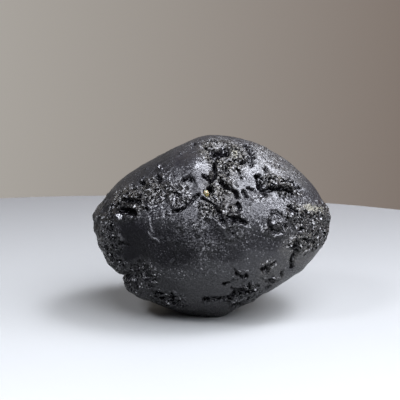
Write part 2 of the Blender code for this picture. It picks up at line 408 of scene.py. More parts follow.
@dataclass(frozen=True)
class TektiteGlass:
    """Black silica glass, etched by the soil: nearly black inside, with a satin skin and glittering pits."""

    name: str = "black_tektite_glass_etched"
    slot: str = "black_tektite_glass"
    glass: str = "#060509"
    soil: str = "#5e5b54"
    caked_soil: str = "#5e5b4d"
    caking: Pair = (0.3, 0.8)  # the soil's share where it starts to cake, and where it is all caked
    fleck_edge: Pair = (0.4, 0.6)  # the etching noise where flecks of soil start, and where they are whole
    ior: float = 1.49  # tektite glass, 1.48 to 1.52
    polished_roughness: float = 0.2
    satin_roughness: float = 0.42
    satin_grit: float = 0.3  # from this grit on, the skin is satin
    frost_roughness: float = 0.65
    frost_painted_shade: float = 0.75  # painted shade: the share of the shine taken away on frosted skin
    # painted shade: the share of the shine taken away in deep pits
    pit_painted_shade: float = 0.45
    fresh_roughness: float = 0.17
    deep_roughness: float = 0.3
    soil_roughness: float = 0.9
    mottle_edge: Pair = (0.3, 0.7)
    mottle_reach: float = 0.08  # how far the roughness strays in mottles
    warp_mm: float = 0.9
    warp_reach_mm: float = 0.5
    crackle_mm: float = 0.8
    crackle_detail: float = 2.5
    crackle_depth_mm: float = 0.26
    etch_mm: float = 0.3  # the real etch is finer, drawn as coarse as it needs to show
    etch_depth_mm: float = 0.18
    pimple_mm: float = 0.8
    pimple_depth_mm: float = 0.16
    noise_detail: float = 2.0
    pinhole_mm: Pair = (0.95, 0.5)
    pinhole_bowl: float = 0.26  # a bowl's radius, as a share of the spacing
    pinhole_draw: Pair = (0.45, 0.8)  # the draw from which a cell has a bowl, and from which a full one
    pinhole_depth_mm: float = 0.24
    grain_mm: float = 0.2
    grain_tilt: float = 1.05
    facet_mm: float = 0.34
    facet_tilt: float = 1.6

    def noise(self, tree: Tree, place: Any, size_mm: float) -> Any:
        """Soft noise with a little detail."""
        form = {"Scale": per_metre(size_mm), "Detail": self.noise_detail}
        return add_node(tree, "TexNoise", form, {"Vector": place}).outputs[0]

    def crackle(self, tree: Tree, place: Any) -> Any:
        """Ridged noise with thin crests, read at places that a softer noise bends.

        Args:
            tree: the material's node tree.
            place: the coordinates before they are bent.

        Returns:
            The noise's output.
        """
        scale = {"Scale": per_metre(self.warp_mm)}
        warp = add_node(tree, "TexNoise", scale, {"Vector": place}).outputs["Color"]
        reach = {1: (self.warp_reach_mm * MM,) * 3}
        bent = add_node(tree, "VectorMath", reach, {0: warp, 2: place}, operation="MULTIPLY_ADD").outputs[0]
        form = {"Scale": per_metre(self.crackle_mm), "Detail": self.crackle_detail}
        form |= {"Offset": 1.0, "Gain": 1.0}
        ridged = add_node(tree, "TexNoise", form, {"Vector": bent}, noise_type="RIDGED_MULTIFRACTAL")
        return ridged.outputs[0]

    def pinholes(self, tree: Tree, place: Any, spacing_mm: float) -> Any:
        """Burst bubbles in some cells of a scatter: -1 in the middle of the deepest, and 0 outside them.

        Args:
            tree: the material's node tree.
            place: the coordinates of the cells.
            spacing_mm: how far apart the cells lie.

        Returns:
            The height's output.
        """
        cells = add_node(tree, "TexVoronoi", {"Scale": per_metre(spacing_mm)}, {"Vector": place})
        bowl = ramp(tree, cells.outputs["Distance"], (0.0, self.pinhole_bowl), -1.0, 0.0)
        drawn = add_node(tree, "SeparateXYZ", links={0: cells.outputs["Color"]}).outputs[0]
        return maths(tree, "MULTIPLY", bowl, ramp(tree, drawn, self.pinhole_draw))

    def faceted(self, tree: Tree, place: Any, normal: Any, size_mm: float, tilt: float, share: Any) -> Any:
        """The normal, tilted another way in each tiny cell, so that a few of the cells glint.

        Args:
            tree: the material's node tree.
            place: the coordinates of the cells.
            normal: the normal to tilt.
            size_mm: how wide a cell is.
            tilt: how far a cell's normal may lean, as the sideways part of a unit normal. The lean is cubed,
                so most cells lean little.
            share: how much of the tilt each place gets.

        Returns:
            The tilted normal.
        """
        scale = {"Scale": per_metre(size_mm)}
        cells = add_node(tree, "TexVoronoi", scale, {"Vector": place}).outputs["Color"]
        ends = {"From Min": (0.0,) * 3, "From Max": (1.0,) * 3}
        ends |= {"To Min": (-tilt,) * 3, "To Max": (tilt,) * 3}
        leans = add_node(tree, "MapRange", ends, {"Vector": cells}, data_type="FLOAT_VECTOR")
        lean = leans.outputs["Vector"]
        squared = maths(tree, "MULTIPLY", lean, lean, "VectorMath")
        cubed = maths(tree, "MULTIPLY", squared, lean, "VectorMath")
        shared = {0: cubed, "Scale": share}
        leaned = add_node(tree, "VectorMath", links=shared, operation="SCALE").outputs[0]
        added = maths(tree, "ADD", normal, leaned, "VectorMath")
        return add_node(tree, "VectorMath", links={0: added}, operation="NORMALIZE").outputs[0]

    def build(self) -> bpy.types.Material:
        """The material, which reads how etched, deep, gritty, frosted and soiled each place is."""
        material, tree, shader = new_material(self.name)
        place = add_node(tree, "TexCoord").outputs["Object"]
        etched, soil, frost, grit, deep = (
            add_node(tree, "Attribute", attribute_name=label).outputs["Fac"]
            for label in ("etched", "soil", "frost", "grit", "deep")
        )
        etch, pimples = (self.noise(tree, place, size) for size in (self.etch_mm, self.pimple_mm))
        crests = maths(tree, "MULTIPLY", self.crackle(tree, place), etched)
        coarse, fine = (self.pinholes(tree, place, spacing) for spacing in self.pinhole_mm)
        pinholes = maths(tree, "MINIMUM", coarse, fine)

        dust = maths(tree, "MULTIPLY", soil, ramp(tree, etch, self.fleck_edge))
        earth = blend(tree, ramp(tree, soil, self.caking), self.soil, self.caked_soil)
        colour = blend(tree, dust, self.glass, earth)

        roughness = ramp(tree, grit, (0.0, self.satin_grit), self.polished_roughness, self.satin_roughness)
        for share, rough in (
            (etched, self.fresh_roughness),
            (frost, self.frost_roughness),
            (deep, self.deep_roughness),
        ):
            roughness = ramp(tree, share, low=roughness, high=rough)
        mottle = ramp(tree, pimples, self.mottle_edge, -self.mottle_reach, self.mottle_reach)
        mottled = maths(tree, "ADD", roughness, mottle)
        roughness = ramp(tree, dust, low=mottled, high=self.soil_roughness)

        normal = None
        for height, depth_mm, strength in (
            (etch, self.etch_depth_mm, grit),
            (pimples, self.pimple_depth_mm, grit),
            (pinholes, self.pinhole_depth_mm, grit),
            (crests, self.crackle_depth_mm, None),
        ):
            links = {"Height": height, "Strength": strength, "Normal": normal}
            links = {label: source for label, source in links.items() if source is not None}
            normal = add_node(tree, "Bump", {"Distance": depth_mm * MM}, links).outputs[0]
        for size_mm, tilt, share in (
            (self.grain_mm, self.grain_tilt, grit),
            (self.facet_mm, self.facet_tilt, etched),
        ):
            normal = self.faceted(tree, place, normal, size_mm, tilt, share)

        # Painted shade: the metallic share of a black base reflects next to nothing, so frost and pits lose
        # shine.
        frost_shade, pit_shade = (
            ramp(tree, share, high=shade_share)
            for share, shade_share in ((frost, self.frost_painted_shade), (deep, self.pit_painted_shade))
        )
        painted_shade = maths(tree, "MAXIMUM", frost_shade, pit_shade)
        links = {"Metallic": painted_shade, "Base Color": colour, "Roughness": roughness, "Normal": normal}
        feed(tree, shader, {"IOR": self.ior}, links)
        return material


@dataclass(frozen=True)
class QuartzSand:
    """A water-worn quartz grain stained yellow by iron: waxy, a little see-through, with paler faces."""

    name: str = "yellow_quartz_sand_worn"
    slot: str = "yellow_quartz_sand"
    stain: str = "#413814"
    pale: str = "#544e36"
    ior: float = 1.544
    roughness: float = 0.42
    stain_mm: float = 0.7
    stain_edge: Pair = (0.4, 0.6)
    scatter: float = 0.4
    scatter_mm: float = 0.3

    def build(self) -> bpy.types.Material:
        """The material, stained in blotches under half a millimetre wide."""
        material, tree, shader = new_material(self.name)
        place = add_node(tree, "TexCoord").outputs["Object"]
        scale = {"Scale": per_metre(self.stain_mm)}
        blotch = add_node(tree, "TexNoise", scale, {"Vector": place}).outputs[0]
        colour = blend(tree, ramp(tree, blotch, self.stain_edge), self.stain, self.pale)
        values = {
            "IOR": self.ior,
            "Roughness": self.roughness,
            "Subsurface Weight": self.scatter,
            "Subsurface Scale": self.scatter_mm * MM,
        }
        feed(tree, shader, values, {"Base Color": colour})
        return material


class Axis(Enum):
    """Which way a studio surface's tone runs."""

    X = 0
    Y = 1


@dataclass(frozen=True)
class StudioPaint:
    """A matt studio surface whose tone runs from one colour to another along one axis."""

    name: str
    near: str
    far: str
    axis: Axis
    span_m: Pair
    roughness: float
    glows: bool = False  # painted light: a glowing backdrop shows its own tone, whatever lamps stand near it
    unlit: str = "#1a1918"
    fade_m: Pair | None = None  # a painted shadow: where the tone comes up from the unlit one

    def build(self) -> bpy.types.Material:
        """The material, with the near colour at the span's start and the far one at its end."""
        material, tree, shader = new_material(self.name)
        place = add_node(tree, "TexCoord").outputs["Object"]
        along = add_node(tree, "SeparateXYZ", links={0: place}).outputs[self.axis.value]
        colour = blend(tree, ramp(tree, along, self.span_m), self.near, self.far)
        if self.fade_m is not None:
            colour = blend(tree, ramp(tree, along, self.fade_m), self.unlit, colour)
        values = {
            "Roughness": self.roughness,
            "Base Color": linear(self.unlit),
            "Emission Strength": 1.0 if self.glows else 0.0,
        }
        feed(tree, shader, values, {"Emission Color" if self.glows else "Base Color": colour})
        return material


# ---------------------------------------------------------------------------------------------------------
# The stone. Its marks lie on the front drawing: x to the right and z up from the heart, in millimetres.

OVAL_STEEPNESS = 2.0  # an oval fades over its outer half


@dataclass(frozen=True)
class Mark:
    """One hollow or swelling along a route of given points."""

    route: Route
    reach: float  # half its width
    lift: float  # its height, or its depth as a negative value


@dataclass(frozen=True)
class Patch:
    """An oval of the front drawing where the skin is of one kind."""

    middle: Pair
    half: Pair
    strength: float
    turn: float = 0.0  # degrees, anticlockwise
    cell: float = 0.0  # how wide its grain's waves are, where it has one

    def cover(self, places: Array) -> Array:
        """How much each place belongs to the oval: 1 in its inner half, falling smoothly to 0 at its edge.

        Args:
            places: places on the front drawing.

        Returns:
            The share of each place.
        """
        turn = math.radians(self.turn)
        away = places - self.middle
        along = away[:, 0] * math.cos(turn) + away[:, 1] * math.sin(turn)
        across = away[:, 1] * math.cos(turn) - away[:, 0] * math.sin(turn)
        inside = 1.0 - np.hypot(along / self.half[0], across / self.half[1])
        return smooth_step(OVAL_STEEPNESS * inside)


@dataclass(frozen=True)
class Chip:
    """A small flat where the glass has flaked, polished, that looks one way."""

    middle: Pair
    reach: float
    bearing: float  # degrees from +X, anticlockwise seen from above
    height: float  # degrees over the level


@dataclass(frozen=True)
class Rise:
    """A share that rises with a value: the smooth step of start + rate * value."""

    start: float
    rate: float

    def over(self, values: Array) -> Array:
        """The share at each value, from 0 to 1."""
        return smooth_step(self.start + self.rate * values)


@dataclass(frozen=True)
class Islands:
    """Random islands of one kind of skin: where a soft noise is high."""

    cell: float
    seed: Seed
    rise: Rise

    def over(self, points: Array) -> Array:
        """1 on the islands, falling smoothly to 0 between them."""
        return self.rise.over(soft_noise(points, self.cell, self.seed))


# Broad, soft forms.
SWELLS = (
    Mark(((-3.0, 10.8), (-2.9, 9.2)), 3.2, 0.9),  # bright rib
    Mark(((-6.6, 11.6), (-6.4, 10.2)), 4.2, 0.55),  # rib shoulder
    Mark(((-2.6, 7.2), (-2.1, 5.8)), 1.6, 0.28),  # rib tongue
    Mark(((-21.6, 1.9), (-21.0, 1.1)), 2.4, 0.7),  # left nose
    Mark(((-21.9, -0.1), (-21.5, 0.1)), 1.2, -1.1),  # left waist
    Mark(((21.2, 3.4), (21.6, 1.8)), 1.9, 0.35),  # right tip
    Mark(((21.8, -0.4), (21.4, 0.0)), 1.4, -1.6),  # right waist
    Mark(((15.4, -8.6), (10.5, -12.0)), 2.6, 0.35),  # jaw edge
    Mark(((-20.4, -4.5), (-18.6, -7.5)), 2.2, 0.4),  # left cheek
    Mark(((20.4, -3.6), (16.8, -8.4)), 2.2, 0.3),  # right hip
    Mark(((-9.0, 0.8), (-5.2, 0.8)), 2.8, 0.75),  # mid brow
    Mark(((3.5, 0.7), (13.0, 1.2)), 4.4, 1.0),  # right shelf
    Mark(((3.0, 9.6), (8.5, 9.2)), 6.5, -0.8),  # upper plane
    Mark(((-14.8, -11.2), (-12.5, -12.6)), 2.4, 0.75),  # heel
    Mark(((11.9, 0.1), (12.1, 0.1)), 1.3, 0.25),  # crater floor
    Mark(((-16.0, -4.6), (-14.4, -7.6)), 4.8, -1.4),  # left dish
    Mark(((-8.8, -5.2), (-6.0, -7.2)), 4.0, -0.5),  # mid hollow
)

# Pits, slots and gullies that the solid has too.
HOLLOWS = (
    Mark(((0.8, 13.3), (2.4, 13.7)), 1.35, -2.6),  # crown hole
    Mark(((-1.7, 13.8), (-0.4, 13.8)), 0.5, -0.8),  # crown nick
    Mark(((0.2, 12.2), (0.8, 12.6)), 0.6, -1.3),  # crown pit
    Mark(((6.2, 14.6), (7.1, 13.9), (7.9, 13.0)), 0.55, -1.2),  # rim slot
    Mark(((5.8, 11.9), (6.8, 12.1), (7.8, 11.5)), 0.5, -1.2),  # brow slot
    Mark(((0.4, 11.3), (0.5, 10.2), (0.6, 9.2), (0.1, 8.4), (-0.5, 7.6)), 0.52, -1.3),  # rib gully
    Mark(((-1.7, 8.8), (-0.9, 8.5), (-0.2, 7.8)), 0.5, -1.2),  # rib notch
    Mark(((1.7, 8.4), (2.6, 7.4), (3.8, 7.0), (4.7, 6.2), (5.1, 5.3)), 0.7, -1.5),  # slanting gully
    Mark(((-1.0, 5.8), (-0.7, 6.3)), 0.9, -1.4),  # grain pit
    Mark(((4.9, 10.7), (5.7, 10.1)), 0.55, -0.8),  # shelf pit
    Mark(((6.1, 6.5), (6.6, 6.1), (6.7, 5.4)), 0.5, -0.9),  # comma pit
    Mark(((7.0, 7.1), (7.9, 6.8), (8.8, 6.5)), 0.45, -0.8),  # shelf slot
    Mark(((8.9, 9.6), (9.1, 8.6), (9.4, 7.5), (9.7, 6.4), (10.3, 5.6)), 0.66, -2.1),  # long slot
    Mark(((9.0, 9.7), (9.8, 9.4), (10.3, 8.6)), 0.5, -0.9),  # long slot hook
    Mark(((10.5, 10.9), (10.7, 10.3)), 0.5, -1.0),  # shelf hole
    Mark(((10.2, 6.5), (11.5, 6.7), (13.3, 6.5), (14.4, 6.1), (15.3, 5.3)), 0.62, -1.4),  # furrow
    Mark(((13.6, 8.2), (14.6, 8.1), (15.6, 7.6), (16.8, 6.6)), 0.6, -0.8),  # upper furrow
    Mark(((4.9, 3.6), (5.0, 2.6)), 0.65, -1.3),  # eye pit
    Mark(((3.0, 1.2), (4.1, 0.8), (5.0, 0.4), (6.0, 0.1)), 0.65, -1.0),  # eye gully
    Mark(((0.6, 3.1), (1.4, 1.8), (2.0, 0.4)), 0.6, -0.8),  # mid gully
    Mark(((-7.3, 2.3), (-5.9, 2.5), (-4.7, 3.2), (-3.6, 4.4), (-2.7, 5.3)), 0.5, -0.9),  # brow gully
    Mark(((14.4, 3.3), (14.5, 2.4)), 0.7, -0.8),  # temple pit
    Mark(((15.9, -4.0), (15.6, -5.4), (14.9, -6.8), (14.5, -7.9)), 0.5, -1.7),  # cheek slot
    Mark(((9.7, -8.5), (10.1, -8.3)), 0.85, -1.5),  # jaw hole
    Mark(((10.2, -10.5), (11.1, -10.1)), 0.5, -0.9),  # jaw slot
    Mark(((4.5, -9.0), (5.4, -9.8), (6.4, -9.7)), 0.5, -0.8),  # chin pits
    Mark(((2.3, -11.3), (3.2, -10.8), (4.0, -10.5)), 0.5, -0.7),  # chin slot
    Mark(((-1.5, -14.3), (1.0, -14.2), (3.2, -13.5), (4.6, -12.4), (6.0, -12.2)), 0.6, -1.2),  # chin gully
    Mark(((-16.9, 2.5), (-16.0, 2.4), (-14.5, 2.2)), 0.75, -1.5),  # left hole
    Mark(((-16.0, 4.2), (-14.5, 4.2), (-13.3, 3.9)), 0.5, -0.8),  # left furrow
    Mark(((-13.3, 7.3), (-12.7, 7.5)), 0.6, -0.8),  # left pit
    Mark(((-10.0, 8.4), (-9.4, 8.0)), 0.6, -0.9),  # flank pit
    Mark(((-17.4, -10.0), (-15.6, -9.6)), 0.7, -0.7),  # heel nick
)

# Pits and slits too fine for the solid.
FINE_HOLLOWS = (
    # Crown
    Mark(((-3.4, 14.9), (-3.2, 14.8)), 0.32, -0.5),
    Mark(((-0.3, 15.4), (0.3, 15.5)), 0.25, -0.4),
    Mark(((2.7, 11.1), (2.8, 10.5)), 0.4, -0.9),
    Mark(((2.8, 9.3), (3.2, 9.8)), 0.34, -0.8),
    Mark(((2.6, 12.3), (4.3, 12.1), (5.0, 12.0)), 0.42, -1.0),
    Mark(((7.1, 12.9), (8.0, 12.1)), 0.36, -0.9),
    # Shelf
    Mark(((5.7, 9.0), (5.9, 8.9)), 0.26, -0.4),
    Mark(((5.1, 7.5), (4.7, 8.0)), 0.36, -0.5),
    Mark(((9.7, 11.6), (10.1, 10.8)), 0.2, -0.4),
    Mark(((10.7, 8.3), (11.2, 8.6), (11.7, 8.6)), 0.3, -0.6),
    Mark(((12.9, 5.3), (12.7, 4.7)), 0.2, -0.4),
    Mark(((13.6, 5.4), (13.5, 4.6)), 0.2, -0.4),
    # Crater
    Mark(((10.6, 1.6), (11.3, 1.5), (11.8, 1.0), (11.6, 0.4)), 0.28, -0.5),
    Mark(((10.9, 2.3), (11.8, 2.3), (12.6, 1.8), (13.1, 1.2)), 0.28, -0.45),
    # Temple
    Mark(((15.1, 2.8), (15.4, 1.8), (15.8, 0.8)), 0.28, -0.6),
    # Right end
    Mark(((18.2, 1.6), (18.9, 1.2)), 0.5, -0.7),
    Mark(((20.3, 1.1), (20.0, 1.7)), 0.6, -0.6),
    Mark(((18.2, 0.5), (18.8, 0.9)), 0.35, -0.5),
    Mark(((16.5, -0.6), (16.7, -0.9)), 0.4, -0.7),
    Mark(((17.3, 2.2), (17.9, 2.0)), 0.4, -0.5),
    Mark(((16.4, 1.6), (17.0, 1.3)), 0.32, -0.5),
    Mark(((18.4, -0.2), (18.9, -0.8)), 0.28, -0.5),
    Mark(((17.0, -2.7), (17.8, -3.0), (18.5, -3.4)), 0.35, -0.6),
    # Cheek
    Mark(((15.9, -3.0), (16.1, -3.9)), 0.3, -0.5),
    Mark(((13.6, -4.2), (14.9, -3.6)), 0.22, -0.35),
    # Jaw
    Mark(((10.6, -7.8), (11.2, -7.2), (11.9, -6.8)), 0.28, -0.5),
    Mark(((12.6, -9.3), (13.0, -8.6)), 0.24, -0.5),
    Mark(((9.9, -11.6), (10.5, -11.2)), 0.32, -0.5),
    # Chin
    Mark(((7.1, -11.0), (6.9, -11.8)), 0.28, -0.5),
    Mark(((6.2, -12.6), (7.4, -12.2)), 0.32, -0.5),
    Mark(((3.8, -11.7), (4.3, -12.0), (5.0, -12.4)), 0.4, -0.6),
    Mark(((4.3, -8.4), (4.5, -8.9)), 0.28, -0.4),
    # Left belt and rim
    Mark(((-17.3, 3.4), (-17.1, 3.3)), 0.38, -0.5),
    Mark(((-14.8, 7.0), (-14.3, 6.4)), 0.26, -0.5),
    Mark(((-12.8, 2.8), (-12.1, 2.6)), 0.38, -0.6),
    Mark(((-18.4, -0.4), (-18.9, -1.5)), 0.5, -0.4),
    Mark(((-17.6, -3.8), (-16.7, -4.1)), 0.4, -0.45),
    # Brow
    Mark(((-8.4, 2.1), (-8.5, 1.3)), 0.28, -0.6),
    Mark(((-6.7, 5.6), (-6.1, 5.1)), 0.38, -0.6),
    Mark(((-7.3, 6.7), (-6.8, 6.4)), 0.3, -0.4),
    # Rib
    Mark(((-1.9, 4.7), (-0.8, 4.2), (0.3, 3.4)), 0.4, -0.7),
    Mark(((-5.2, 8.1), (-4.3, 8.2), (-3.5, 7.7)), 0.4, -0.7),
    # Heel
    Mark(((-13.3, -8.7), (-12.9, -8.6)), 0.36, -0.5),
    Mark(((-15.5, -10.8), (-13.9, -10.9)), 0.36, -0.45),
    Mark(((-12.0, -10.2), (-11.3, -10.0)), 0.42, -0.5),
    Mark(((-8.9, -13.6), (-7.1, -13.7)), 0.4, -0.6),
    Mark(((-9.8, -12.7), (-9.0, -12.8)), 0.25, -0.35),
    Mark(((-6.9, -14.6), (-6.4, -14.7)), 0.36, -0.5),
)

# Beads, lips and thin ridges that catch the light.
FINE_RIDGES = (
    # Two curled ridges
    Mark(((-11.6, 1.1), (-11.4, -0.5), (-11.2, -1.6)), 0.34, 0.32),
    Mark(((-11.8, -1.7), (-11.1, -2.6), (-10.3, -2.7), (-9.8, -3.4)), 0.34, 0.32),
    # Left belt
    Mark(((-16.4, 1.1), (-15.2, 1.4), (-13.8, 1.3)), 0.3, 0.25),
    Mark(((-18.9, 2.9), (-18.6, 3.8), (-18.2, 4.8)), 0.34, 0.35),
    Mark(((-15.6, 5.2), (-15.3, 4.8)), 0.4, 0.35),
    Mark(((-13.2, 7.7), (-12.4, 8.6)), 0.36, 0.35),
    Mark(((-12.1, 4.1), (-11.6, 3.0)), 0.38, 0.35),
    # Flank
    Mark(((-9.6, 10.6), (-9.1, 10.1)), 0.36, 0.4),
    Mark(((-12.3, 10.3), (-12.1, 10.3)), 0.28, 0.3),
    Mark(((-5.8, 12.7), (-5.6, 12.7)), 0.3, 0.35),
    # Brow
    Mark(((-8.7, 5.8), (-8.4, 5.4)), 0.36, 0.35),
    Mark(((-9.6, 4.9), (-9.1, 4.6)), 0.36, 0.35),
    Mark(((-6.9, 4.6), (-7.1, 3.1)), 0.32, 0.35),
    Mark(((-7.9, 1.9), (-6.6, 1.9), (-5.4, 2.4), (-4.6, 3.2)), 0.45, 0.3),
    # Heel
    Mark(((-12.3, -6.9), (-12.1, -7.4)), 0.42, 0.3),
    # Middle
    Mark(((-7.7, -7.3), (-7.3, -7.0)), 0.38, 0.3),
    Mark(((-6.7, -6.4), (-6.5, -6.3)), 0.3, 0.22),
    Mark(((-4.0, -5.5), (-3.4, -6.0)), 0.22, 0.16),
    Mark(((-2.3, -7.2), (-1.7, -7.7)), 0.24, 0.2),
    Mark(((3.8, -7.6), (3.9, -7.7)), 0.24, 0.2),
    Mark(((4.2, -4.1), (4.8, -4.8)), 0.26, 0.2),
    Mark(((0.2, 0.9), (1.4, -0.2), (2.4, -1.7), (3.1, -2.6)), 0.45, 0.3),
    # Eye pit
    Mark(((4.2, -0.6), (5.2, -0.3), (6.1, -0.8)), 0.3, 0.22),
    Mark(((5.7, 3.6), (5.7, 2.4), (5.0, 1.7)), 0.3, 0.25),
    # Jaw
    Mark(((9.4, -7.7), (9.6, -7.8)), 0.26, 0.22),
    # Right end
    Mark(((19.8, 4.3), (19.8, 3.8)), 0.32, 0.3),
    # Crater
    Mark(((13.4, -1.6), (12.4, -2.1), (11.2, -1.9)), 0.4, 0.25),
)

# Flaked faces that glint.
CHIPS = (
    Chip((-17.0, 1.3), 0.8, -106, 32),
    Chip((-9.6, 10.4), 0.3, -84, 37),
    Chip((10.8, 0.0), 0.45, -77, 37),
    Chip((16.2, -1.4), 0.4, -75, 37),
    Chip((14.3, 1.8), 0.35, -75, 37),
    Chip((11.2, -9.6), 0.28, -77, 37),
)

# Etched ground: how etched each oval is.
PITTED = (
    Patch((2.3, 13.0), (5.9, 3.4), 1.0, -12),  # crown
    Patch((1.2, 7.2), (3.4, 4.4), 0.9),  # rib side
    Patch((-0.8, 2.6), (2.4, 3.2), 0.85),  # rib foot
    Patch((12.6, 11.8), (8.5, 2.0), 0.25, -38),  # rim
    Patch((2.4, 1.4), (4.4, 3.8), 0.75, -20),  # eye
    Patch((13.2, 7.2), (5.4, 2.2), 1.0, -24),  # furrow
    Patch((19.2, -0.2), (5.2, 5.4), 0.9),  # right end
    Patch((15.0, 2.0), (2.4, 3.0), 0.9),  # temple
    Patch((11.8, -1.2), (3.4, 2.2), 0.6),  # crater edge
    Patch((17.2, -3.4), (3.8, 2.8), 0.8, 10),  # cheek
    Patch((-15.6, 3.8), (5.2, 3.8), 1.0, 38),  # left belt
    Patch((-10.6, 6.2), (4.4, 3.6), 0.8, 25),  # flank
    Patch((-5.9, 5.2), (3.8, 3.6), 0.55),  # brow
    Patch((-19.7, 2.4), (2.6, 3.4), 0.6, 20),  # left nose
    Patch((-19.3, -2.2), (2.6, 6.4), 0.8, 8),  # left rim
    Patch((-13.8, -10.0), (5.4, 4.0), 0.75),  # heel
    Patch((-8.2, -13.8), (5.0, 1.8), 0.9, -14),  # heel line
    Patch((-6.6, -14.6), (3.4, 1.4), 0.7, -12),  # foot
    Patch((6.0, -13.8), (4.6, 1.5), 0.8, 28),  # foot edge
    Patch((-18.6, -7.4), (2.0, 4.0), 0.9, 36),  # left edge
    Patch((5.6, -12.7), (4.8, 1.4), 0.85, 22),  # chin
    Patch((5.2, -9.6), (2.4, 1.6), 0.35),  # chin slots
    Patch((11.0, -8.8), (3.0, 2.6), 0.5, 25),  # jaw
    Patch((5.6, 9.6), (4.6, 3.0), 0.2),  # shelf freckles
    Patch((10.5, 3.5), (7.0, 4.0), 0.25),  # shelf
    Patch((-1.0, -2.2), (11.0, 4.4), 0.35),  # centre
)

# Fine wavy grain: each oval's waves are as high as its strength, in millimetres.
GRAINY = (
    Patch((-1.0, -2.2), (10.5, 3.6), 0.08, 0, 0.55),  # centre
    Patch((-11.5, -1.5), (4.5, 5.0), 0.08, 0, 0.6),  # left
    Patch((-3.0, -8.0), (11.0, 5.5), 0.05, 0, 0.6),  # lower
    Patch((10.5, 4.0), (6.0, 3.2), 0.05, 0, 0.5),  # shelf
    Patch((9.0, 12.0), (10.0, 4.0), 0.05, -35, 0.5),  # rim
    Patch((-8.0, 11.0), (9.0, 4.0), 0.05, 28, 0.55),  # flank
)

# Skin that is etched so finely that it is dull, where painted shade also takes off some shine.
FROST_AND_SHADE = (
    Patch((-15.6, -3.6), (6.5, 7.5), 1.0),  # dish
    Patch((-8.5, -4.5), (9.0, 5.5), 0.93),  # lower
    Patch((0.6, -1.9), (6.6, 4.4), 0.76),  # centre
    Patch((8.5, -3.0), (7.5, 2.6), 0.65),  # ledge
    Patch((2.6, -5.2), (5.0, 2.6), 0.72),  # belly
    Patch((2.4, 4.4), (3.0, 2.2), 0.6),  # gully
    Patch((-11.0, -11.0), (8.0, 4.5), 0.4, -30),  # heel
    Patch((11.0, 2.8), (8.0, 5.5), 0.2),  # shelf
    Patch((8.2, 2.3), (4.8, 2.8), 0.5),  # shelf foot
    Patch((6.4, 8.2), (2.6, 2.0), 0.3),  # shelf neck
    Patch((-5.0, 1.5), (4.8, 3.2), 0.55),  # brow
    Patch((-19.8, 1.5), (3.6, 7.0), 0.9),  # left end
    Patch((-2.0, 7.2), (2.2, 3.2), 0.42),  # tongue
    Patch((16.7, 8.2), (6.0, 2.4), 0.55, -48),  # rim
    Patch((2.5, 16.0), (4.0, 1.6), 0.4),  # top
    Patch((-12.0, 11.2), (9.5, 4.2), 0.65, 33),  # flank
)

# Skin that the etching has spared, in the middle of etched ground.
BARE = (
    Patch((-2.6, 7.4), (2.2, 4.4), 1.0, 14),  # rib tongue
    Patch((1.6, 13.5), (2.8, 1.9), 1.0, 8),  # crown hole
    Patch((18.7, 3.0), (2.1, 0.9), 0.7, -10),  # caked end
    Patch((4.3, 13.5), (1.2, 0.9), 0.6),  # caked crown
)

# Where the skin is smoother or grittier than elsewhere.
GRIT = (
    Patch((-3.2, 9.2), (5.0, 5.8), -0.34),  # smooth rib
    Patch((-9.5, 10.5), (7.0, 3.0), -0.2, 32),  # smooth flank
    Patch((-15.2, -3.8), (4.0, 5.5), -0.3),  # smooth dish
    Patch((0.0, -12.6), (7.0, 3.0), -0.2),  # smooth chin
    Patch((-6.0, -6.6), (9.0, 5.0), 0.3),  # gritty belly
    Patch((-1.0, -2.6), (10.0, 4.6), 0.35),  # gritty centre
    Patch((9.0, 7.6), (7.5, 7.0), -0.35),  # smooth shelf
    Patch((8.0, -5.6), (8.0, 4.0), -0.18),  # smooth ledge
    Patch((16.9, 8.0), (6.0, 2.2), -0.25, -48),  # smooth rim
)

# Where soil and dust cling.
SOIL_SPOTS = (
    Patch((18.8, 3.0), (2.3, 0.85), 0.78, -12),  # end soil
    Patch((18.0, 2.6), (4.0, 1.6), 0.22, -10),  # end dust
    Patch((4.3, 13.5), (1.2, 1.0), 0.7),  # crown soil
    Patch((2.8, 12.8), (6.4, 3.8), 0.2, -12),  # crown dust
    Patch((1.8, 6.0), (4.4, 6.0), 0.17),  # gully dust
    Patch((12.5, 11.0), (8.0, 3.0), 0.14, -38),  # rim dust
    Patch((16.2, -4.6), (4.6, 4.0), 0.25, 30),  # cheek dust
    Patch((11.0, -8.8), (3.4, 3.0), 0.2, 25),  # jaw dust
)


